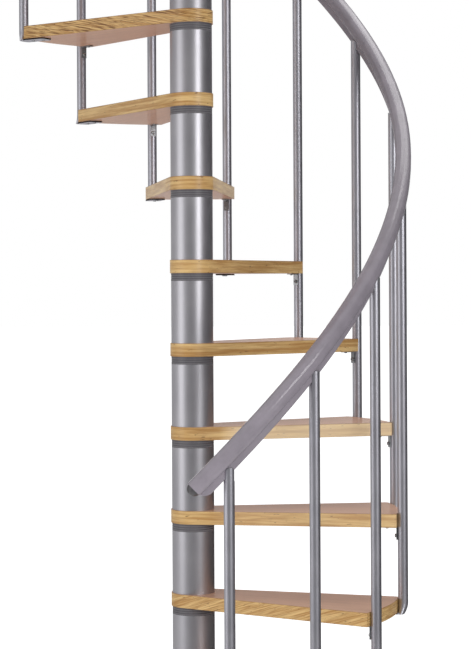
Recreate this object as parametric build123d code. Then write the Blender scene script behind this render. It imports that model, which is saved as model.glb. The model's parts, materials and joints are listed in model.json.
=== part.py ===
from build123d import *
import math
import os

# Spiral staircase: wedge treads strung on a steel column and spaced by sleeves,
# tube balusters that tie each tread to the next, and a helical handrail.
# Millimetres and degrees. The origin is on the column's axis at floor level, +Z is up,
# and the stair climbs counter-clockwise seen from above.

# ---- Driving dimensions ---------------------------------------------------------
TREAD_COUNT = 11            # a landing board makes the rise after the last tread
RISE = 225.0                # from one tread's top to the next
STEP_ANGLE = 22.9           # from one baluster to the next
FIRST_AZIMUTH = -81.2       # azimuth of the first baluster

POST_DIAMETER = 60.3        # steel tube that everything is threaded on
POST_WALL = 3.2
POST_CLEARANCE = 0.4        # on the radius, between the post and what slides on it

SLEEVE_DIAMETER = 114.3
SLEEVE_WALL = 2.0
SPIGOT_CLEARANCE = 0.3      # on the radius, between a ring's spigot and its sleeve
SPIGOT_DEPTH = 10.0
RING_HEIGHT = 21.0
GROOVE_WIDTH = 2.0
GROOVE_DEPTH = 1.0
GROOVE_PITCH = 6.0

TREAD_THICKNESS = 36.0
HUB_RADIUS = 60.0           # rounded inner end of a tread, round the sleeve
TREAD_HALF_ANGLE = 14.0     # from a tread's centreline to its outer corners
FRONT_CORNER = 3.0          # radius of the outer corners
REAR_CORNER = 10.0

BALUSTER_CIRCLE = 568.0     # radius on which the balusters stand
BALUSTER_DIAMETER = 26.9
BALUSTER_WALL = 1.5
EDGE_CLEARANCE = 0.3        # between a baluster and the end of the treads
FOOT_THICKNESS = 4.0        # flattened end of a baluster, screwed under the tread
FOOT_WIDTH = 46.0
FOOT_LENGTH = 80.0          # from the baluster's axis towards the column
FOOT_CORNER = 10.0
FOOT_HEEL = 18.0            # depth of the pressed tube where it meets the plate
CRUSH_HEIGHT = 27.0         # height over which the round tube is pressed flat
CRUSH_KNEE = 9.0            # height of the section between, half as squashed
TUBE_FLOOR = 6.0            # solid metal left above the pressed part

RAIL_OFFSET = 3.0           # of the crown's middle, outwards from the balusters' circle
RAIL_HEIGHT = 877.0         # of the crown's middle above the first tread, at the first baluster
RAIL_GAIN = 3.5             # what the rail gains on the treads from one baluster to the next
CROWN_WIDTH = 42.0
CROWN_HEIGHT = 41.0
CROWN_CORNER = 16.0
LIP_WIDTH = 12.0            # rib under the crown that the baluster's head grips
LIP_DEPTH = 17.0
LIP_CORNER = 3.0
LIP_END_RADIUS = 26.0       # rounding of the lip at the rail's ends
RAIL_OVERHANG = 8.6         # run of the rail past the first and the last baluster, degrees
CAP_DIAMETER = 36.0
CAP_BULGE = 17.0

SLOT_CLEARANCE = 0.8        # each side of the lip in the baluster's head
SLOT_RELIEF = 1.0           # under the lowest point of the lip
HEAD_CLEARANCE = 0.5        # between the head's domed tongues and the crown

BRACKET_WIDTH = 15.0        # angle that hangs a tread's front corner on its baluster
BRACKET_THICKNESS = 3.0
BRACKET_LEG = 40.0
BRACKET_DROP = 34.0

BASE_DIAMETER = 300.0
BASE_THICKNESS = 10.0
BASE_CHAMFER = 2.0
ANCHOR_CIRCLE = 240.0
ANCHOR_HOLE = 14.0
ANCHOR_COUNT = 4
COLLAR_HEIGHT = 60.0
COLLAR_WALL = 6.0

COLUMN_CAP_HEIGHT = 34.0
COLUMN_CAP_WALL = 3.0
COLUMN_CAP_CHAMFER = 6.0
COLUMN_CAP_ROOM = 4.0       # between the post's end and the cap's top, inside

# ---- Derived values -------------------------------------------------------------
LANDING_LEVEL = TREAD_COUNT + 1
BALUSTER_COUNT = TREAD_COUNT + 1
POST_RADIUS = POST_DIAMETER / 2
BORE_RADIUS = POST_RADIUS + POST_CLEARANCE
SLEEVE_RADIUS = SLEEVE_DIAMETER / 2
TUBE_RADIUS = BALUSTER_DIAMETER / 2
TREAD_RADIUS = BALUSTER_CIRCLE - TUBE_RADIUS - EDGE_CLEARANCE
RAIL_CIRCLE = BALUSTER_CIRCLE + RAIL_OFFSET
RAIL_CLIMB = (RISE + RAIL_GAIN) / math.radians(STEP_ANGLE)     # per radian
RAIL_SLOPE = math.atan2(RAIL_CLIMB, RAIL_CIRCLE)
LANDING_TOP = LANDING_LEVEL * RISE


def baluster_azimuth(number):
    return FIRST_AZIMUTH + (number - 1) * STEP_ANGLE


def tread_azimuth(number):
    """Azimuth of a tread's centreline, midway between the two balusters it meets."""
    return baluster_azimuth(number) + STEP_ANGLE / 2


def rail_level(number):
    """Height of the rail's helix at a baluster."""
    return RISE + RAIL_HEIGHT + (number - 1) * (RISE + RAIL_GAIN)


def turned(shape, azimuth, height=0.0):
    """Turn a shape made along +X about the column, and lift it."""
    return Pos(0, 0, height) * Rot(0, 0, azimuth) * shape


def save(shape, name):
    export_step(shape, f"parts/{name}.step")


# ---- Column ---------------------------------------------------------------------
def make_base_plate():
    """Round floor plate with anchor holes and the collar that holds the post."""
    plate = extrude(Circle(BASE_DIAMETER / 2), BASE_THICKNESS)
    plate = chamfer(plate.edges().group_by(Axis.Z)[-1], BASE_CHAMFER)
    collar = extrude(Circle(BORE_RADIUS + COLLAR_WALL), BASE_THICKNESS + COLLAR_HEIGHT)
    collar -= Pos(0, 0, BASE_THICKNESS) * extrude(Circle(BORE_RADIUS), COLLAR_HEIGHT)
    holes = PolarLocations(ANCHOR_CIRCLE / 2, ANCHOR_COUNT, start_angle=45)
    return plate + collar - holes * extrude(Circle(ANCHOR_HOLE / 2), BASE_THICKNESS)


def make_centre_post():
    end = LANDING_TOP + COLUMN_CAP_HEIGHT - COLUMN_CAP_WALL - COLUMN_CAP_ROOM
    ring = Circle(POST_RADIUS) - Circle(POST_RADIUS - POST_WALL)
    return Pos(0, 0, BASE_THICKNESS) * extrude(ring, end - BASE_THICKNESS)


def make_sleeve(number):
    """Tube from the tread (or base plate) below up to the ring of this level."""
    bottom = BASE_THICKNESS if number == 1 else (number - 1) * RISE
    top = number * RISE - TREAD_THICKNESS - RING_HEIGHT
    tube = Circle(SLEEVE_RADIUS) - Circle(SLEEVE_RADIUS - SLEEVE_WALL)
    return Pos(0, 0, bottom) * extrude(tube, top - bottom)


def make_levelling_ring():
    """Grooved ring under a tread's hub; its spigot centres the sleeve below."""
    spigot_radius = SLEEVE_RADIUS - SLEEVE_WALL - SPIGOT_CLEARANCE
    ring = extrude(Circle(SLEEVE_RADIUS), RING_HEIGHT)
    ring += Pos(0, 0, -SPIGOT_DEPTH) * extrude(Circle(spigot_radius), SPIGOT_DEPTH)
    ring -= Pos(0, 0, -SPIGOT_DEPTH) * extrude(Circle(BORE_RADIUS), RING_HEIGHT + SPIGOT_DEPTH)
    groove = Circle(SLEEVE_RADIUS + GROOVE_DEPTH) - Circle(SLEEVE_RADIUS - GROOVE_DEPTH)
    for side in (-1, 1):
        bottom = RING_HEIGHT / 2 + side * GROOVE_PITCH / 2 - GROOVE_WIDTH / 2
        ring -= Pos(0, 0, bottom) * extrude(groove, GROOVE_WIDTH)
    return ring


def make_levelling_rings():
    ring = make_levelling_ring()
    levels = range(1, LANDING_LEVEL + 1)
    bottoms = [level * RISE - TREAD_THICKNESS - RING_HEIGHT for level in levels]
    return Compound([Pos(0, 0, bottom) * ring for bottom in bottoms])


def make_column_cap():
    """Hollow cap over the post's end, standing on the landing."""
    cap = extrude(Circle(SLEEVE_RADIUS), COLUMN_CAP_HEIGHT)
    hollow = extrude(Circle(SLEEVE_RADIUS - COLUMN_CAP_WALL), COLUMN_CAP_HEIGHT - COLUMN_CAP_WALL)
    cap = chamfer(cap.edges().group_by(Axis.Z)[-1], COLUMN_CAP_CHAMFER)
    hollow = chamfer(hollow.edges().group_by(Axis.Z)[-1], COLUMN_CAP_CHAMFER)
    return Pos(0, 0, LANDING_TOP) * (cap - hollow)


# ---- Treads ---------------------------------------------------------------------
def make_tread():
    """Wedge along +X: straight edges tangent to the hub circle, and an arc at the outer end."""
    half = math.radians(TREAD_HALF_ANGLE)
    corner = Vector(TREAD_RADIUS * math.cos(half), TREAD_RADIUS * math.sin(half))
    touch = half + math.acos(HUB_RADIUS / TREAD_RADIUS)
    tangent = Vector(HUB_RADIUS * math.cos(touch), HUB_RADIUS * math.sin(touch))
    edges = [
        Line(tangent, corner),
        ThreePointArc(corner, (TREAD_RADIUS, 0), (corner.X, -corner.Y)),
        Line((corner.X, -corner.Y), (tangent.X, -tangent.Y)),
        ThreePointArc((tangent.X, -tangent.Y), (-HUB_RADIUS, 0), tangent),
    ]
    outline = make_face(Wire(edges))
    outline = fillet(outline.vertices().sort_by_distance(corner)[0], REAR_CORNER)
    outline = fillet(outline.vertices().sort_by_distance((corner.X, -corner.Y))[0], FRONT_CORNER)
    outline -= Circle(BORE_RADIUS)
    return Pos(0, 0, -TREAD_THICKNESS) * extrude(outline, TREAD_THICKNESS)


def front_edge_turn():
    """Angle from a tread's centreline to the run of its straight edges."""
    return TREAD_HALF_ANGLE - math.degrees(math.asin(HUB_RADIUS / TREAD_RADIUS))


def make_landing_board():
    """Square board with the column in its rounded corner; its front edge replaces a tread's."""
    run_azimuth = tread_azimuth(LANDING_LEVEL) - front_edge_turn()
    lag = math.radians(baluster_azimuth(BALUSTER_COUNT) - run_azimuth)
    reach = BALUSTER_CIRCLE * math.cos(lag) - TUBE_RADIUS - EDGE_CLEARANCE
    side = HUB_RADIUS + reach
    square = Pos(side / 2 - HUB_RADIUS, side / 2 - HUB_RADIUS) * Rectangle(side, side)
    hub_corner = square.vertices().sort_by_distance((-HUB_RADIUS, -HUB_RADIUS))[0]
    square = fillet(hub_corner, HUB_RADIUS - 0.01)
    square -= Circle(BORE_RADIUS)
    board = Pos(0, 0, -TREAD_THICKNESS) * extrude(square, TREAD_THICKNESS)
    return turned(board, run_azimuth, LANDING_TOP)


# ---- Balusters ------------------------------------------------------------------
def make_head_cut(number):
    """What is taken off a tube's end: the slot for the rail's lip, and all above the domes."""
    cosine = math.cos(RAIL_SLOPE)
    crease = rail_level(number) - CROWN_HEIGHT / 2 / cosine
    dome_centre = crease - (TUBE_RADIUS + HEAD_CLEARANCE) / cosine
    fall = TUBE_RADIUS * math.tan(RAIL_SLOPE)
    slot_bottom = crease - LIP_DEPTH / cosine - fall - SLOT_RELIEF
    slot_width = LIP_WIDTH + 2 * SLOT_CLEARANCE
    head = 4 * TUBE_RADIUS
    slot = Pos(0, 0, slot_bottom + head) * Box(slot_width, head, 2 * head)
    above = Pos(0, 0, dome_centre + head) * Box(head, head, 2 * head)
    dome = Pos(0, 0, dome_centre) * Rot(0, 90, 0) * Cylinder(TUBE_RADIUS, 2 * head)
    return slot + (above - dome)


def make_foot(bottom):
    """Tube end pressed flat and folded inwards, with its plate towards the column."""
    knee_depth = (BALUSTER_DIAMETER + FOOT_HEEL) / 2
    knee_width = (BALUSTER_DIAMETER + FOOT_WIDTH) / 2
    stations = ((CRUSH_HEIGHT, BALUSTER_DIAMETER, BALUSTER_DIAMETER),
                (CRUSH_KNEE, knee_depth, knee_width),
                (0.0, FOOT_HEEL, FOOT_WIDTH))
    sections = []
    for height, depth, width in stations:
        place = Pos(depth / 2 - TUBE_RADIUS, 0, bottom + height)
        sections.append(place * Ellipse(depth / 2, width / 2))
    elbow = loft(sections)
    plate = RectangleRounded(FOOT_LENGTH, FOOT_WIDTH, FOOT_CORNER)
    centre = FOOT_HEEL / 2 - TUBE_RADIUS - FOOT_LENGTH / 2
    return elbow + Pos(centre, 0, bottom) * extrude(plate, FOOT_THICKNESS)


def make_baluster(number):
    """Tube from under the tread below (or from the floor) to the rail's lip."""
    bottom = 0.0 if number == 1 else (number - 1) * RISE - TREAD_THICKNESS - FOOT_THICKNESS
    shoulder = bottom + CRUSH_HEIGHT
    top = rail_level(number)
    tube = Pos(0, 0, shoulder) * extrude(Circle(TUBE_RADIUS), top - shoulder)
    bore_bottom = shoulder + TUBE_FLOOR
    bore = Pos(0, 0, bore_bottom) * extrude(Circle(TUBE_RADIUS - BALUSTER_WALL), top - bore_bottom)
    baluster = tube + make_foot(bottom) - bore - make_head_cut(number)
    return turned(Pos(BALUSTER_CIRCLE, 0, 0) * baluster, baluster_azimuth(number))


# ---- Brackets -------------------------------------------------------------------
def make_front_bracket(level):
    """Angle under a tread's front corner, with its upright leg against the baluster."""
    under = level * RISE - TREAD_THICKNESS
    face = BALUSTER_CIRCLE - TUBE_RADIUS
    align = (Align.MAX, Align.CENTER, Align.MAX)
    flat = Pos(face, 0, under) * Box(BRACKET_LEG, BRACKET_WIDTH, BRACKET_THICKNESS, align=align)
    upright = Pos(face, 0, under) * Box(BRACKET_THICKNESS, BRACKET_WIDTH, BRACKET_DROP, align=align)
    return turned(flat + upright, baluster_azimuth(level))


# ---- Handrail -------------------------------------------------------------------
def rail_helix():
    """Helix through the middle of the crown, from the lower end to the upper."""
    turn = (BALUSTER_COUNT - 1) * STEP_ANGLE + 2 * RAIL_OVERHANG
    helix = Edge.make_helix(2 * math.pi * RAIL_CLIMB, RAIL_CLIMB * math.radians(turn), RAIL_CIRCLE)
    start = rail_level(1) - RAIL_CLIMB * math.radians(RAIL_OVERHANG)
    return turned(helix, FIRST_AZIMUTH - RAIL_OVERHANG, start)


def rail_end(position):
    """Plane of an end face: y towards the top of the crown, z along the rail and into it."""
    helix = rail_helix()
    point = helix @ position
    sign = 1 if position == 0 else -1
    inward = Vector(-point.X, -point.Y, 0).normalized()
    return Plane(origin=point, x_dir=inward * sign, z_dir=(helix % position) * sign)


def make_lip_end():
    """What is taken off the lip at an end face, outside an arc that starts along its bottom."""
    height = 2 * LIP_DEPTH
    corner = Box(2 * LIP_WIDTH, height, LIP_END_RADIUS, align=(Align.CENTER, Align.MAX, Align.MIN))
    bar = Rot(0, 90, 0) * Cylinder(LIP_END_RADIUS, 2 * LIP_WIDTH)
    bar = Pos(0, LIP_END_RADIUS - LIP_DEPTH, LIP_END_RADIUS) * bar
    return Pos(0, -CROWN_HEIGHT / 2, 0) * (corner - bar)


def make_handrail():
    """Crown and lip swept square to the helix, with the lip rounded off at both ends."""
    lip_height = CROWN_HEIGHT / 2 + LIP_DEPTH
    lip = Pos(RAIL_OFFSET, -lip_height / 2) * Rectangle(LIP_WIDTH, lip_height)
    lip = fillet(lip.vertices().group_by(Axis.Y)[0], LIP_CORNER)
    profile = RectangleRounded(CROWN_WIDTH, CROWN_HEIGHT, CROWN_CORNER) + lip
    rail = sweep(rail_end(0) * profile, path=rail_helix(), is_frenet=True)
    return rail - rail_end(0) * make_lip_end() - rail_end(1) * make_lip_end()


def make_rail_cap():
    """Domed plug, with its flat face against the crown's end face."""
    radius = CAP_DIAMETER / 2
    sphere_radius = (radius ** 2 + CAP_BULGE ** 2) / (2 * CAP_BULGE)
    ball = Pos(0, 0, sphere_radius - CAP_BULGE) * Sphere(sphere_radius)
    return ball & Cylinder(radius, CAP_BULGE, align=(Align.CENTER, Align.CENTER, Align.MAX))


# ---- Export ---------------------------------------------------------------------
os.makedirs("parts", exist_ok=True)
save(make_base_plate(), "base_plate")
save(make_centre_post(), "centre_post")
save(make_levelling_rings(), "levelling_rings")
save(make_column_cap(), "column_cap")
save(make_landing_board(), "landing_board")
save(make_handrail(), "handrail")
save(Compound([rail_end(position) * make_rail_cap() for position in (0, 1)]), "rail_caps")
save(Compound([make_front_bracket(level) for level in range(1, LANDING_LEVEL + 1)]), "front_brackets")
tread = make_tread()
for number in range(1, TREAD_COUNT + 1):
    save(turned(tread, tread_azimuth(number), number * RISE), f"tread_{number:02d}")
for number in range(1, LANDING_LEVEL + 1):
    save(make_sleeve(number), f"sleeve_{number:02d}")
for number in range(1, BALUSTER_COUNT + 1):
    save(make_baluster(number), f"baluster_{number:02d}")
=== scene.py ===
"""Looks of the spiral staircase: camera, studio, materials and the small fittings."""
import json
import math
from collections import namedtuple

import bmesh
import bpy
from mathutils import Matrix, Vector


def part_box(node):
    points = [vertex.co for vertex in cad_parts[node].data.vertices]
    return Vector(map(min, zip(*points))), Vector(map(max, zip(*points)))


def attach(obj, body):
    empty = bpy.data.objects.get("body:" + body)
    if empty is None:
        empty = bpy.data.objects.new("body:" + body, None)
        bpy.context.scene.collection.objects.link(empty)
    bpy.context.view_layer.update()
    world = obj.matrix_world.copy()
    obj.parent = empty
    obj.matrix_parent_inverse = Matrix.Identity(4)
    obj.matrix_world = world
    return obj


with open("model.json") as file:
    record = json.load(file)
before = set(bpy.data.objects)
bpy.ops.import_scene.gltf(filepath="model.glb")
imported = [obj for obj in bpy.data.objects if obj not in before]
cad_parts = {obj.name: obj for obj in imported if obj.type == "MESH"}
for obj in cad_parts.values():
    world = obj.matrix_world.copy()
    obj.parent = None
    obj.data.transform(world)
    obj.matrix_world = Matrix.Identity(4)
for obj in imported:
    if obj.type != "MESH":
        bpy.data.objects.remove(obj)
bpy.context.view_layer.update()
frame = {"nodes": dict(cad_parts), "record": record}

# ---- Sizes the CAD source also has, in metres and degrees ------------------------
FIRST_AZIMUTH = -81.2          # of the first baluster
STEP_ANGLE = 22.9
TREAD_COUNT = 11
RISE = 0.225
TREAD_THICKNESS = 0.036
BALUSTER_CIRCLE = 0.568        # radius of the circle that the balusters stand on
BALUSTER_RADIUS = 0.01345
FOOT_THICKNESS = 0.004
BRACKET_THICKNESS = 0.003
BASE_THICKNESS = 0.010
ANCHOR_CIRCLE = 0.240          # diameter of the circle that the anchors stand on

# ---- Sizes of the small fittings, in metres --------------------------------------
# heads: radius, height and the socket's radius
BOLT_HEAD = (0.0052, 0.0048, 0.0020)
SCREW_HEAD = (0.0040, 0.0026, 0.0016)
FOOT_SCREW_HEAD = (0.0048, 0.0030, 0.0018)
BOLT_DROP = 0.0235             # from the tread's underside down to a bracket's bolt
SCREW_INSET = 0.028            # from the baluster's inner side to a bracket's screw
FOOT_SCREW_INSETS = (0.034, 0.070)   # from the balusters' circle inwards
WASHER_RADIUS = 0.0130
WASHER_HOLE = 0.0070           # radius
WASHER_THICKNESS = 0.0025
WASHER_RIM = 0.0004            # height of its bevelled rim
NUT_RADIUS = 0.0095            # half its width across flats
NUT_BORE = 0.0062              # radius
NUT_HEIGHT = 0.0100
NUT_RIM = 0.0008               # height of its bevelled rim
RIM_SLOPE = 0.0005             # how far the rims of washer and nut lean in
STUD_RADIUS = 0.0060
STUD_HEIGHT = 0.0208           # from the washer's top to the stud's end
STUD_CHAMFER = 0.0006          # height
STUD_TIP = 0.0048              # radius
THREAD_START = 0.0004          # from the nut's top
THREAD_DEPTH = 0.0006
THREAD_PITCH = 0.0012
THREAD_TURNS = 8
THREAD_EASE = 0.0001           # by which the thread's two ends are eased
SHARP_ANGLE = 40               # degrees: a sharper edge isn't shaded smooth

# ---- Camera ----------------------------------------------------------------------
CAMERA_PLACE = (0.0, -4.9874, 1.5095)
CAMERA_LENS = 101.92           # mm, on a sensor 36 mm wide
CAMERA_SENSOR = 36.0
CAMERA_ROLL = -0.29            # degrees
CAMERA_SHIFT = (0.0669, -0.0624)

# ---- Studio ----------------------------------------------------------------------
WORLD_LEVEL = 0.42             # of the light that falls on the stair from all sides
FLOOR_RADIUS = 60.0
FLOOR_GREYS = (0.84, 0.86)
FLOOR_GLOW = (0.40, 0.85)      # what the eye sees added to the floor near the stair, and far off
FLOOR_GLOW_REACH = (0.8, 4.0)  # distances from the column between which the glow grows
ROUND_SIDES = 96               # of the floor and the walls
WALL_RADIUS = 12.0
WALL_SPAN = (-6.0, 9.0)        # heights between which gloss sees the walls
WALL_TURN = (0.5, 1.5)         # heights between which the lower greys pass into the upper ones
WALL_DIM = (2.5, 4.5, 1.0, 0.70)   # heights between which the walls dim, and from what to what
BACKDROP_TURN = (152, 164)     # azimuths between which the walls pass into the white backdrop
BACKDROP_LEVEL = 1.7           # height of its brightest part
BACKDROP_FADE = (0.4, 1.5)     # distances above and below that between which it fades
# greys by azimuth from the camera's side, right is +
UPPER_GREYS = ((-180, 0.25), (-150, 0.48), (-95, 0.52), (-62, 0.58), (-40, 0.42), (-20, 0.31),
               (15, 0.33), (60, 0.24), (80, 0.11), (100, 0.08), (150, 0.08), (165, 0.18), (180, 0.25))
LOWER_GREYS = ((-180, 0.20), (-150, 0.44), (-95, 0.50), (-62, 0.54), (-40, 0.34), (-20, 0.20),
               (15, 0.17), (27, 0.22), (36, 0.48), (45, 0.22), (60, 0.14), (80, 0.08), (150, 0.06),
               (165, 0.14), (180, 0.20))

# A panel: its azimuth from the camera's side (right is +), distance from the column, height, width
# and upright size, radiance, the height that it faces, and whether gloss shows it.
Lamp = namedtuple("Lamp", "name azimuth reach height width tall radiance target glossy")
LAMPS = (Lamp("left_softbox", -63, 3.4, 1.6, 1.9, 2.6, 1.1, 1.6, True),
         Lamp("right_strip", 38, 6.0, 2.35, 2.10, 1.70, 5.7, 2.0, True),
         Lamp("overhead", 122, 1.2, 4.2, 1.8, 1.8, 3.0, 0.0, True),
         Lamp("left_key", -63, 3.4, 1.7, 1.9, 2.8, 1.9, 1.7, False),
         Lamp("right_key", 33, 3.6, 1.6, 0.85, 1.6, 3.6, 1.6, False),
         Lamp("front_key", 0, 2.0, 0.9, 1.2, 1.2, 1.7, 0.9, False))


# ---- Node helpers ----------------------------------------------------------------
def node(tree, kind, inputs=None, **settings):
    """A node of that kind; inputs holds a value or an output for each socket."""
    made = tree.nodes.new("ShaderNode" + kind)
    for name, value in settings.items():
        setattr(made, name, value)
    for name, value in (inputs or {}).items():
        fill(tree, made.inputs[name], value)
    return made


def fill(tree, socket, value):
    """Link the socket to an output, or set it to a value."""
    if isinstance(value, bpy.types.NodeSocket):
        tree.links.new(value, socket)
    else:
        socket.default_value = value


def calculate(tree, operation, *values):
    made = node(tree, "Math", dict(enumerate(values)), operation=operation)
    return made.outputs[0]


def average(tree, first, second):
    halves = [calculate(tree, "MULTIPLY", value, 0.5) for value in (first, second)]
    return calculate(tree, "ADD", *halves)


def spread(tree, value, low, high, to_low=0.0, to_high=1.0):
    """A value between low and high taken to the range from to_low to to_high, and kept in it."""
    inputs = {"Value": value, "From Min": low, "From Max": high, "To Min": to_low, "To Max": to_high}
    return node(tree, "MapRange", inputs).outputs["Result"]


def mixed(tree, factor, first, second):
    """The first colour where factor is 0, the second where it is 1."""
    made = node(tree, "Mix", data_type="RGBA")
    # A Mix node has a set of sockets for each kind of data, and these are the colours'.
    for index, value in ((0, factor), (6, first), (7, second)):
        fill(tree, made.inputs[index], value)
    return made.outputs[2]


def noise(tree, vector, scale=1.0, detail=2.0, roughness=0.5):
    inputs = {"Vector": vector, "Scale": scale, "Detail": detail, "Roughness": roughness}
    return node(tree, "TexNoise", inputs).outputs["Fac"]


def stretched(tree, vector, scale, shift=(0, 0, 0)):
    inputs = {"Vector": vector, "Scale": scale, "Location": shift}
    return node(tree, "Mapping", inputs).outputs["Vector"]


def object_place(tree):
    return node(tree, "TexCoord").outputs["Object"]


def parts_of(tree, vector):
    return node(tree, "SeparateXYZ", {"Vector": vector}).outputs


def length(tree, vector):
    return node(tree, "VectorMath", {0: vector}, operation="LENGTH").outputs["Value"]


def flatness(tree):
    """1 where the surface lies flat, 0 where it stands."""
    normal = node(tree, "NewGeometry").outputs["Normal"]
    return calculate(tree, "ABSOLUTE", parts_of(tree, normal)["Z"])


def rounded_bump(tree, height, distance, radius, strength=1.0):
    """Normal with soft edges of that radius, and relief from height."""
    bevel = node(tree, "Bevel", {"Radius": radius}, samples=4).outputs["Normal"]
    inputs = {"Height": height, "Distance": distance, "Strength": strength, "Normal": bevel}
    return node(tree, "Bump", inputs).outputs["Normal"]


def relief(tree, height, distance, strength):
    inputs = {"Height": height, "Distance": distance, "Strength": strength}
    return node(tree, "Bump", inputs).outputs["Normal"]


def rgb(red, green, blue):
    """A colour as a picture shows it, in steps of 255, as a linear colour."""
    levels = [value / 255 for value in (red, green, blue)]
    linear = [v / 12.92 if v <= 0.04045 else ((v + 0.055) / 1.055) ** 2.4 for v in levels]
    return (*linear, 1.0)


def grey(level):
    return (level, level, level, 1)


def new_material(name):
    material = bpy.data.materials.new(name)
    material.use_nodes = True
    material.node_tree.nodes.clear()
    return material, material.node_tree


def finish_material(tree, shader):
    node(tree, "OutputMaterial", {"Surface": shader})


# ---- Tones and grain -------------------------------------------------------------
# pairs: the darker and the lighter tone that a surface mottles between
FACE_TONES = (rgb(200, 154, 127), rgb(215, 171, 142))
FACE_FLECK = rgb(118, 80, 58)
EDGE_TONES = (rgb(176, 132, 76), rgb(218, 184, 126))
EDGE_PORE = rgb(96, 66, 40)
EDGE_PALE = rgb(244, 224, 192)
EDGE_ARRIS = rgb(130, 92, 60)
SLEEVE_TONES = (rgb(192, 190, 196), rgb(202, 200, 205))
BALUSTER_TONES = (rgb(187, 186, 194), rgb(199, 198, 206))
PLATE_TONES = (rgb(168, 166, 171), rgb(178, 176, 181))
# painted shade for the foot plates' upright edges, where they meet the treads
PLATE_EDGE_SHADE = rgb(62, 56, 54)
RING_TONES = (rgb(88, 86, 90), rgb(100, 97, 101))
# painted highlight along the middle of each levelling-ring disc, and painted shade in the crevice between
# two discs
DISC_HIGHLIGHT = rgb(168, 166, 170)
DISC_GAP_SHADE = rgb(52, 50, 54)
RAIL_TONES = (rgb(129, 123, 131), rgb(142, 135, 144))
CAP_TONES = (rgb(60, 58, 60), rgb(72, 70, 72))
ZINC_TONES = (rgb(140, 142, 146), rgb(176, 178, 180))

# scales of the wood's noise, per metre: outwards along the tread, across it, and up
FACE_GRAIN = (3, 55, 55)
FACE_FLECKS = (60, 900, 900)
EDGE_PORES = (60, 60, 260)
# edges with straight and with slanted grain: scales of the streaks and the lines, and the lines' tone
STRAIGHT_EDGE = ((5, 5, 120), (24, 24, 900), rgb(150, 108, 66))
SLANTED_EDGE = ((11, 11, 320), (24, 24, 560), rgb(118, 80, 44))
SEED_STEP = 0.37               # moves each tread to its own place in the noise, per degree of azimuth
ARRIS = ((-0.0016, -0.0006),   # heights from the tread's top between which its two corners darken
         (0.0010 - TREAD_THICKNESS, 0.0002 - TREAD_THICKNESS))
PALE_REACH = (0.05, 0.10)      # distances from the column between which an edge turns paler
# single treads: the grain's slant on the edges in degrees, how dark its lines are, and paleness outwards
TREAD_GRAIN = {3: {"slant": 18.0, "lined": 0.38},
               4: {"lined": 0.40, "pale": 0.12},
               5: {"lined": 0.40, "pale": 0.46},
               8: {"lined": 0.40, "pale": 0.16},
               9: {"pale": 0.06},
               10: {"slant": 12.0, "lined": 1.50}}
DISC_HEIGHT = 0.006            # of one disc in a levelling ring's stack
FLAT_PAINT = ("base_plate", "column_cap")    # nodes with a duller paint than the sleeves


# ---- Materials -------------------------------------------------------------------
def tread_face(tree, local, seed):
    """Pinkish face with dark flecks, and the noise of its grain."""
    grain = noise(tree, stretched(tree, local, FACE_GRAIN, (seed, 0, 0)), detail=4, roughness=0.6)
    flecks = noise(tree, stretched(tree, local, FACE_FLECKS, (seed, 0, 0)), detail=2)
    colour = mixed(tree, spread(tree, grain, 0.3, 0.7), *FACE_TONES)
    flecked = calculate(tree, "MULTIPLY", spread(tree, flecks, 0.55, 0.75), 0.35)
    return mixed(tree, flecked, colour, FACE_FLECK), grain


def tread_edge(tree, local, seed, slant, lined, pale):
    """Yellower edge with streaks, lines and pores, and the noise of its lines."""
    axes = parts_of(tree, local)
    streak_scale, line_scale, line_tone = SLANTED_EDGE if slant else STRAIGHT_EDGE
    rise = calculate(tree, "MULTIPLY", axes["X"], -math.tan(math.radians(slant)))
    level = calculate(tree, "ADD", axes["Z"], rise)
    inputs = {"X": axes["X"], "Y": axes["Y"], "Z": level}
    slanted = node(tree, "CombineXYZ", inputs).outputs["Vector"]

    streaks = noise(tree, stretched(tree, slanted, streak_scale, (seed, 0, 0)), detail=3, roughness=0.6)
    colour = mixed(tree, spread(tree, streaks, 0.38, 0.62), *EDGE_TONES)
    fine = noise(tree, stretched(tree, slanted, line_scale, (seed, 0, 0)), detail=2)
    lines = calculate(tree, "MULTIPLY", spread(tree, fine, 0.5, 0.68), lined)
    colour = mixed(tree, lines, colour, line_tone)
    pores = noise(tree, stretched(tree, slanted, EDGE_PORES, (seed, 3, 0)), detail=1)
    pored = calculate(tree, "MULTIPLY", spread(tree, pores, 0.70, 0.74), 0.75)
    colour = mixed(tree, pored, colour, EDGE_PORE)
    lightened = calculate(tree, "MULTIPLY", spread(tree, axes["X"], *PALE_REACH), pale)
    colour = mixed(tree, lightened, colour, EDGE_PALE)
    corners = [spread(tree, axes["Z"], *heights) for heights in ARRIS]
    arris = calculate(tree, "MULTIPLY", calculate(tree, "MAXIMUM", *corners), 0.7)
    return mixed(tree, arris, colour, EDGE_ARRIS), fine


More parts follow.
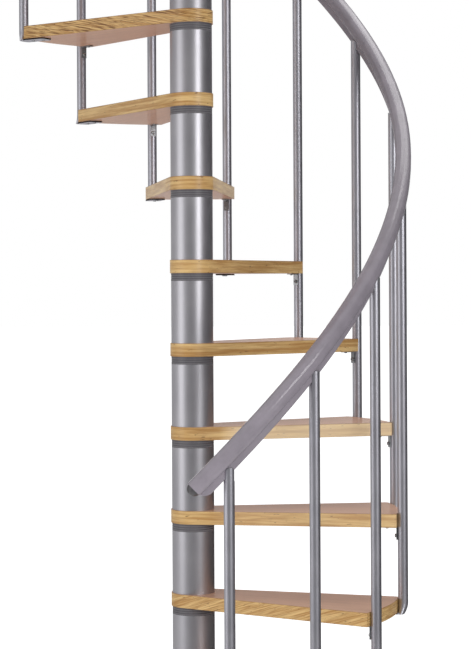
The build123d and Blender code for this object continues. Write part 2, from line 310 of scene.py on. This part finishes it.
def beech(name, azimuth, top, slant=0.0, lined=0.45, pale=0.0):
    """Lacquered tread: faces where its surface lies flat, edges where it stands."""
    material, tree = new_material(name)
    # x runs outwards along the tread, and z is 0 on its top
    local = node(tree, "Mapping", {
        "Vector": object_place(tree),
        "Rotation": (0, 0, -math.radians(azimuth)),
        "Location": (0, 0, -top)}).outputs["Vector"]
    seed = azimuth * SEED_STEP
    face, grain = tread_face(tree, local, seed)
    edge, fine = tread_edge(tree, local, seed, slant, lined, pale)
    flat = spread(tree, flatness(tree), 0.5, 0.7)
    ridges = calculate(tree, "ADD", grain, calculate(tree, "MULTIPLY", fine, 0.4))
    dullness = spread(tree, grain, 0.3, 0.7, 0.34, 0.42)
    shader = node(tree, "BsdfPrincipled", {
        "Base Color": mixed(tree, flat, edge, face),
        "Roughness": calculate(tree, "ADD", dullness, calculate(tree, "MULTIPLY", flat, 0.1)),
        "Specular IOR Level": 0.40,
        "Coat Weight": spread(tree, flat, 0.0, 1.0, 0.05, 0.22),
        "Coat Roughness": 0.10,
        "Normal": rounded_bump(tree, ridges, 0.0003, 0.0015, 0.5)})
    finish_material(tree, shader.outputs[0])
    return material


def metallic_paint(name, tones, rough, feet=False):
    """Silver powder coat with fine metal flakes; foot plates are duller, and painted shade darkens their
    upright edges.
    """
    material, tree = new_material(name)
    place = object_place(tree)
    flakes = noise(tree, place, scale=2600, detail=1)
    clouds = noise(tree, place, scale=14, detail=3)
    colour = mixed(tree, spread(tree, average(tree, flakes, clouds), 0.35, 0.65), *tones)
    roughness = spread(tree, clouds, 0.3, 0.7, rough - 0.02, rough + 0.02)
    if feet:
        axes = parts_of(tree, place)
        level = node(tree, "CombineXYZ", {"X": axes["X"], "Y": axes["Y"]}).outputs["Vector"]
        inside = BALUSTER_CIRCLE - BALUSTER_RADIUS - 0.0004
        plate = calculate(tree, "LESS_THAN", length(tree, level), inside)
        upright = calculate(tree, "LESS_THAN", flatness(tree), 0.6)
        # Painted shade: the foot plates' upright edges take a dark colour for the shade in the gap against
        # the tread.
        colour = mixed(tree, calculate(tree, "MULTIPLY", plate, upright), colour, PLATE_EDGE_SHADE)
        roughness = calculate(tree, "ADD", roughness, calculate(tree, "MULTIPLY", plate, 0.3))
    shader = node(tree, "BsdfPrincipled", {"Base Color": colour, "Metallic": 1.0, "Roughness": roughness})
    finish_material(tree, shader.outputs[0])
    return material


def stacked_discs(tree, place, colour):
    """The colour with a painted highlight along the middle of each disc and painted shade in the crevice
    between two.
    """
    foot = calculate(tree, "SUBTRACT", parts_of(tree, place)["Z"], RISE - TREAD_THICKNESS)
    in_ring = calculate(tree, "MODULO", foot, RISE)
    in_disc = calculate(tree, "FRACT", calculate(tree, "DIVIDE", in_ring, DISC_HEIGHT))
    off_middle = calculate(tree, "ABSOLUTE", calculate(tree, "SUBTRACT", in_disc, 0.5))
    # Painted highlight along each disc's middle.
    colour = mixed(tree, spread(tree, off_middle, 0.10, 0.0, 0.0, 0.45), colour, DISC_HIGHLIGHT)
    # Painted shade in the crevice between two discs.
    return mixed(tree, spread(tree, off_middle, 0.34, 0.46, 0.0, 0.6), colour, DISC_GAP_SHADE)


def moulded_plastic(name, tones, rough, grain_scale=900, grain_strength=0.5, discs=False):
    """Moulded plastic with a fine matt grain and slight mottling."""
    material, tree = new_material(name)
    place = object_place(tree)
    grain = noise(tree, place, scale=grain_scale, detail=2)
    mottle = noise(tree, place, scale=18, detail=4, roughness=0.6)
    colour = mixed(tree, spread(tree, mottle, 0.3, 0.7), *tones)
    if discs:
        colour = stacked_discs(tree, place, colour)
    shader = node(tree, "BsdfPrincipled", {
        "Base Color": colour,
        "Roughness": spread(tree, grain, 0.3, 0.7, rough - 0.04, rough + 0.04),
        "Normal": relief(tree, grain, 0.00003, grain_strength)})
    finish_material(tree, shader.outputs[0])
    return material


def zinc(name, tones, rough):
    """Zinc-plated steel: fine brushing and faint spangle."""
    material, tree = new_material(name)
    place = object_place(tree)
    brushing = noise(tree, stretched(tree, place, (900, 900, 40)), detail=2)
    cells = node(tree, "TexVoronoi", {"Vector": place, "Scale": 160.0}).outputs["Color"]
    spangle = node(tree, "SeparateColor", {"Color": cells}).outputs["Red"]
    tone = average(tree, spangle, brushing)
    shader = node(tree, "BsdfPrincipled", {
        "Base Color": mixed(tree, tone, *tones),
        "Metallic": 1.0,
        "Roughness": spread(tree, tone, 0.2, 0.8, rough - 0.06, rough + 0.06),
        "Normal": rounded_bump(tree, brushing, 0.00004, 0.0005, 0.4)})
    finish_material(tree, shader.outputs[0])
    return material


def tread_material(name):
    """Wood of its own for each tread; the landing board counts as the next one up."""
    number = TREAD_COUNT + 1 if name == "landing_board" else int(name[-2:])
    azimuth = FIRST_AZIMUTH + (number - 0.5) * STEP_ANGLE
    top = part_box(name)[1].z
    return beech(f"beech_{number:02d}", azimuth, top, **TREAD_GRAIN.get(number, {}))


def finish_nodes():
    """Give each CAD node the material of its slot."""
    finishes = {
        "painted_steel": metallic_paint("silver_paint", SLEEVE_TONES, 0.40),
        "baluster_steel": metallic_paint("baluster_paint", BALUSTER_TONES, 0.40, feet=True),
        "dark_plastic": moulded_plastic("ring_plastic", RING_TONES, 0.45, discs=True),
        "rail_plastic": moulded_plastic("rail_plastic", RAIL_TONES, 0.20, 700, 0.15),
        "cap_plastic": moulded_plastic("cap_plastic", CAP_TONES, 0.35),
        "zinc_steel": zinc("zinc_steel", ZINC_TONES, 0.32)}
    flat_paint = metallic_paint("plate_paint", PLATE_TONES, 0.70)
    slots = {part["node"]: part["material_slot"] for part in frame["record"]["subparts"]}
    for name, thing in frame["nodes"].items():
        if slots[name] == "beech":
            material = tread_material(name)
        elif name in FLAT_PAINT:
            material = flat_paint
        else:
            material = finishes[slots[name]]
        thing.data.materials.clear()
        thing.data.materials.append(material)
    return finishes


# ---- Meshes ----------------------------------------------------------------------
def thing_of(name, mesh):
    """An object in the scene from a bmesh, which it uses up."""
    data = bpy.data.meshes.new(name)
    mesh.to_mesh(data)
    mesh.free()
    thing = bpy.data.objects.new(name, data)
    bpy.context.scene.collection.objects.link(thing)
    return thing


def join_rings(mesh, lower, upper):
    """Faces between two rings of as many vertices."""
    count = len(lower)
    for step in range(count):
        after = (step + 1) % count
        mesh.faces.new((lower[step], lower[after], upper[after], upper[step]))


def lathe(mesh, place, profile, sides=24):
    """Turned solid along +Z of place; a profile point is radius, height and whether it is hexagonal."""
    rings = []
    for radius, height, hexagonal in profile:
        ring = []
        for step in range(sides):
            angle = 2 * math.pi * step / sides
            reach = radius
            if hexagonal:
                off_flat = (angle + math.pi / 6) % (math.pi / 3) - math.pi / 6
                reach = radius / math.cos(off_flat)
            point = Vector((reach * math.cos(angle), reach * math.sin(angle), height))
            ring.append(mesh.verts.new(place @ point))
        rings.append(ring)
    for lower, upper in zip(rings, rings[1:]):
        join_rings(mesh, lower, upper)
    mesh.faces.new(list(reversed(rings[0])))
    mesh.faces.new(rings[-1])


# ---- Small fittings --------------------------------------------------------------
def piece(name, mesh, material):
    bmesh.ops.recalc_face_normals(mesh, faces=mesh.faces)
    for face in mesh.faces:
        face.smooth = True
    thing = thing_of(name, mesh)
    thing.data.set_sharp_from_angle(angle=math.radians(SHARP_ANGLE))
    thing.data.materials.append(material)
    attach(thing, "root")
    return thing


def screw_head(radius, height, socket):
    """Domed head with a hexagon socket."""
    rim = height * 0.35
    crown = socket * 1.35
    profile = [(radius, 0.0, False), (radius, rim, False)]
    for step in range(1, 6):
        angle = step / 6 * math.pi / 2
        reach = crown + (radius - crown) * math.cos(angle)
        profile.append((reach, rim + (height - rim) * math.sin(angle), False))
    profile.append((socket * 1.3, height, False))
    profile.append((socket, height * 0.97, True))
    profile.append((socket * 0.96, height * 0.4, True))
    return profile


def at(azimuth, x, z):
    """Frame at that azimuth: x from the column outwards, z up."""
    return Matrix.Rotation(math.radians(azimuth), 4, "Z") @ Matrix.Translation((x, 0, z))


def baluster_azimuth(number):
    return FIRST_AZIMUTH + (number - 1) * STEP_ANGLE


def underside(number):
    """Height of the underside of a tread, or of the landing board after the last one."""
    return number * RISE - TREAD_THICKNESS


DOWN = Matrix.Rotation(math.pi, 4, "X")
INWARDS = Matrix.Rotation(-math.pi / 2, 4, "Y")


def add_bracket_bolts(material):
    """A bolt through each upright leg into the baluster, and a screw up into the tread."""
    mesh = bmesh.new()
    face = BALUSTER_CIRCLE - BALUSTER_RADIUS
    for number in range(1, TREAD_COUNT + 2):
        azimuth = baluster_azimuth(number)
        under = underside(number)
        bolt = at(azimuth, face - BRACKET_THICKNESS, under - BOLT_DROP) @ INWARDS
        lathe(mesh, bolt, screw_head(*BOLT_HEAD))
        screw = at(azimuth, face - SCREW_INSET, under - BRACKET_THICKNESS) @ DOWN
        lathe(mesh, screw, screw_head(*SCREW_HEAD))
    piece("bracket_bolts", mesh, material)


def add_foot_screws(material):
    """Two screws in each baluster's foot plate: the first plate is on the floor, the others under treads."""
    mesh = bmesh.new()
    for number in range(1, TREAD_COUNT + 2):
        for inset in FOOT_SCREW_INSETS:
            reach = BALUSTER_CIRCLE - inset
            if number == 1:
                place = at(baluster_azimuth(number), reach, FOOT_THICKNESS)
            else:
                place = at(baluster_azimuth(number), reach, underside(number - 1) - FOOT_THICKNESS) @ DOWN
            lathe(mesh, place, screw_head(*FOOT_SCREW_HEAD))
    piece("foot_screws", mesh, material)


def washer_profile():
    inner = WASHER_RADIUS - RIM_SLOPE
    return [(inner, 0.0, False), (WASHER_RADIUS, WASHER_RIM, False),
            (WASHER_RADIUS, WASHER_THICKNESS - WASHER_RIM, False), (inner, WASHER_THICKNESS, False),
            (WASHER_HOLE, WASHER_THICKNESS, False)]


def nut_profile():
    inner = NUT_RADIUS - RIM_SLOPE
    return [(inner, 0.0, False), (NUT_RADIUS, NUT_RIM, True), (NUT_RADIUS, NUT_HEIGHT - NUT_RIM, True),
            (inner, NUT_HEIGHT, False), (NUT_BORE, NUT_HEIGHT, False)]


def stud_profile():
    """End of a threaded stud from the nut's top up."""
    root = STUD_RADIUS - THREAD_DEPTH
    profile = [(STUD_RADIUS - THREAD_EASE, NUT_HEIGHT, False)]
    for turn in range(THREAD_TURNS):
        height = NUT_HEIGHT + THREAD_START + THREAD_PITCH * turn
        profile += [(STUD_RADIUS, height, False), (root, height + THREAD_PITCH / 2, False)]
    profile.append((root + THREAD_EASE, STUD_HEIGHT - STUD_CHAMFER, False))
    profile.append((STUD_TIP, STUD_HEIGHT, False))
    return profile


def add_anchors(material):
    """Washer, nut and stud end on each of the base plate's anchors."""
    mesh = bmesh.new()
    for quarter in range(4):
        place = at(45 + 90 * quarter, ANCHOR_CIRCLE / 2, BASE_THICKNESS)
        nut = place @ Matrix.Translation((0, 0, WASHER_THICKNESS))
        lathe(mesh, place, washer_profile())
        lathe(mesh, nut, nut_profile())
        lathe(mesh, nut, stud_profile())
    piece("anchor_nuts", mesh, material)


# ---- Camera and studio -----------------------------------------------------------
def add_camera():
    data = bpy.data.cameras.new("camera")
    data.lens = CAMERA_LENS
    data.sensor_width = CAMERA_SENSOR
    data.shift_x, data.shift_y = CAMERA_SHIFT
    camera = bpy.data.objects.new("camera", data)
    turn = Matrix.Rotation(math.pi / 2, 4, "X") @ Matrix.Rotation(math.radians(CAMERA_ROLL), 4, "Z")
    camera.matrix_world = Matrix.Translation(CAMERA_PLACE) @ turn
    bpy.context.scene.collection.objects.link(camera)
    bpy.context.scene.camera = camera


def add_lamp(panel):
    """Upright panel, at an azimuth from the camera's side, that faces its target height."""
    data = bpy.data.lights.new(panel.name, "AREA")
    data.shape = "RECTANGLE"
    data.size = panel.width
    data.size_y = panel.tall
    data.energy = panel.radiance * math.pi * panel.width * panel.tall
    lamp = bpy.data.objects.new(panel.name, data)
    angle = math.radians(panel.azimuth)
    lamp.location = (panel.reach * math.sin(angle), -panel.reach * math.cos(angle), panel.height)
    aim = Vector((0, 0, panel.target)) - lamp.location
    lamp.rotation_euler = aim.to_track_quat("-Z", "Y").to_euler()
    lamp.visible_glossy = panel.glossy
    lamp.visible_camera = False
    bpy.context.scene.collection.objects.link(lamp)


def add_world():
    """White to the eye, to gloss and through glass; a plain level for all other light."""
    world = bpy.data.worlds.new("world")
    bpy.context.scene.world = world
    world.use_nodes = True
    tree = world.node_tree
    tree.nodes.clear()
    path = node(tree, "LightPath").outputs
    seen = calculate(tree, "MAXIMUM", path["Is Camera Ray"], path["Is Glossy Ray"])
    seen = calculate(tree, "MAXIMUM", seen, path["Is Transmission Ray"])
    level = spread(tree, seen, 0.0, 1.0, WORLD_LEVEL, 1.0)
    light = node(tree, "Background", {"Color": grey(1), "Strength": level})
    node(tree, "OutputWorld", {"Surface": light.outputs[0]})


def add_floor():
    """Pale floor that gloss doesn't see; its glow, for the eye alone, brings it up to white."""
    mesh = bmesh.new()
    bmesh.ops.create_circle(mesh, cap_ends=True, radius=FLOOR_RADIUS, segments=ROUND_SIDES)
    floor = thing_of("floor", mesh)
    material, tree = new_material("floor_white")
    place = object_place(tree)
    tone = noise(tree, place, scale=3.0, detail=3)
    colour = mixed(tree, tone, *[grey(level) for level in FLOOR_GREYS])
    body = node(tree, "BsdfDiffuse", {"Color": colour}).outputs[0]
    seen = node(tree, "LightPath").outputs["Is Camera Ray"]
    level = spread(tree, length(tree, place), *FLOOR_GLOW_REACH, *FLOOR_GLOW)
    glow = node(tree, "Emission", {"Strength": calculate(tree, "MULTIPLY", seen, level)}).outputs[0]
    finish_material(tree, node(tree, "AddShader", {0: body, 1: glow}).outputs[0])
    floor.data.materials.append(material)
    floor.visible_glossy = False


def wall_ramp(tree, turn, greys):
    ramp = node(tree, "ValToRGB", {"Fac": turn})
    stops = ramp.color_ramp.elements
    stops[0].position = 0.0
    stops[1].position = 1.0
    for azimuth, _ in greys[1:-1]:
        stops.new((azimuth + 180) / 360)
    for stop, (_, level) in zip(stops, greys):
        stop.color = grey(level)
    return ramp.outputs["Color"]


def wall_colour(tree):
    """Greys by azimuth and height, and a white backdrop on the side across from the camera."""
    axes = parts_of(tree, object_place(tree))
    towards_camera = calculate(tree, "MULTIPLY", axes["Y"], -1.0)
    azimuth = calculate(tree, "ARCTAN2", axes["X"], towards_camera)
    turn = spread(tree, azimuth, -math.pi, math.pi)
    upper = spread(tree, axes["Z"], *WALL_TURN)
    colour = mixed(tree, upper, wall_ramp(tree, turn, LOWER_GREYS), wall_ramp(tree, turn, UPPER_GREYS))
    inputs = {0: colour, "Scale": spread(tree, axes["Z"], *WALL_DIM)}
    dimmed = node(tree, "VectorMath", inputs, operation="SCALE").outputs["Vector"]
    away = calculate(tree, "ABSOLUTE", azimuth)
    behind = spread(tree, away, *[math.radians(angle) for angle in BACKDROP_TURN])
    off_level = calculate(tree, "ABSOLUTE", calculate(tree, "SUBTRACT", axes["Z"], BACKDROP_LEVEL))
    lit = calculate(tree, "MULTIPLY", behind, spread(tree, off_level, *BACKDROP_FADE, 1.0, 0.0))
    return mixed(tree, lit, dimmed, grey(1))


def add_walls():
    """Grey studio walls round the stair, which only its gloss sees."""
    mesh = bmesh.new()
    ends = []
    for height in WALL_SPAN:
        ring = []
        for step in range(ROUND_SIDES):
            angle = 2 * math.pi * step / ROUND_SIDES
            point = (WALL_RADIUS * math.cos(angle), WALL_RADIUS * math.sin(angle), height)
            ring.append(mesh.verts.new(point))
        ends.append(ring)
    join_rings(mesh, *ends)
    walls = thing_of("studio_walls", mesh)
    material, tree = new_material("wall_grey")
    glow = node(tree, "Emission", {"Color": wall_colour(tree), "Strength": 1.0})
    finish_material(tree, glow.outputs[0])
    walls.data.materials.append(material)
    for kind in ("camera", "diffuse", "transmission", "volume_scatter", "shadow"):
        setattr(walls, "visible_" + kind, False)


# ---- The scene -------------------------------------------------------------------
bpy.context.scene.view_settings.view_transform = "Standard"
add_camera()
add_world()
add_floor()
add_walls()
for panel in LAMPS:
    add_lamp(panel)
finishes = finish_nodes()
add_bracket_bolts(finishes["zinc_steel"])
add_foot_screws(finishes["zinc_steel"])
add_anchors(finishes["zinc_steel"])
